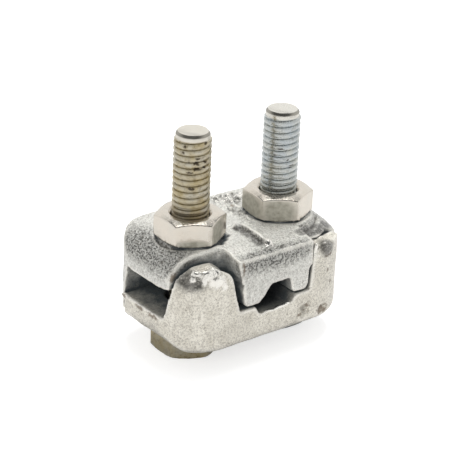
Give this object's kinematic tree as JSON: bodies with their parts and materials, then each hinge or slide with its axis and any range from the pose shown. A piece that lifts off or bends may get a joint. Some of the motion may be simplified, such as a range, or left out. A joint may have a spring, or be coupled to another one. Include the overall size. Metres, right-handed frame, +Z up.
{
  "type": "twin saddle wire rope clip",
  "caption": "Bolted wire rope clip: two interlocking cast saddles with hooked lugs grip a rope between two hexagon bolts with nuts on top.",
  "frame": {"origin": "midway between the two bolts, on the surface that the bolt heads stand on", "axes": "+Z up along the bolts towards their threaded ends, X along the line of the bolts with the tall front lug at -X, -Y towards the front where the tall lug of the lower saddle shows"},
  "size_m": [0.055, 0.0344, 0.059],
  "materials": {
    "lower_casting": "hot-dip galvanised, satin",
    "upper_casting": "hot-dip galvanised, grainy and sparkling",
    "left_bolt_zinc": "zinc plated, yellowed",
    "right_bolt_zinc": "zinc plated, bluish",
    "nut_zinc": "zinc plated, satin"
  },
  "bodies": {
    "base": {"lower_saddle": "lower_casting", "left_bolt": "left_bolt_zinc", "right_bolt": "right_bolt_zinc"},
    "upper": {"upper_saddle": "upper_casting"},
    "left_nut": {"left_nut": "nut_zinc"},
    "right_nut": {"right_nut": "nut_zinc"}
  },
  "joints": [
    {"name": "upper_saddle_lift", "type": "slide", "parent": "base", "child": "upper", "axis": [0, 0, 1], "range_m": [0, 0.02]},
    {"name": "left_nut_turn", "type": "hinge", "parent": "upper", "child": "left_nut", "pos_m": [-0.0137, 0, 0.0343], "axis": [0, 0, 1], "range_deg": [0, 4536]},
    {"name": "right_nut_turn", "type": "hinge", "parent": "upper", "child": "right_nut", "pos_m": [0.0145, 0, 0.0343], "axis": [0, 0, 1], "range_deg": [0, 4536]}
  ],
  "couplings": [
    {"joint": "left_nut_turn", "follows": "upper_saddle_lift", "rad_per_m": 3957.9},
    {"joint": "right_nut_turn", "follows": "upper_saddle_lift", "rad_per_m": 3957.9}
  ]
}
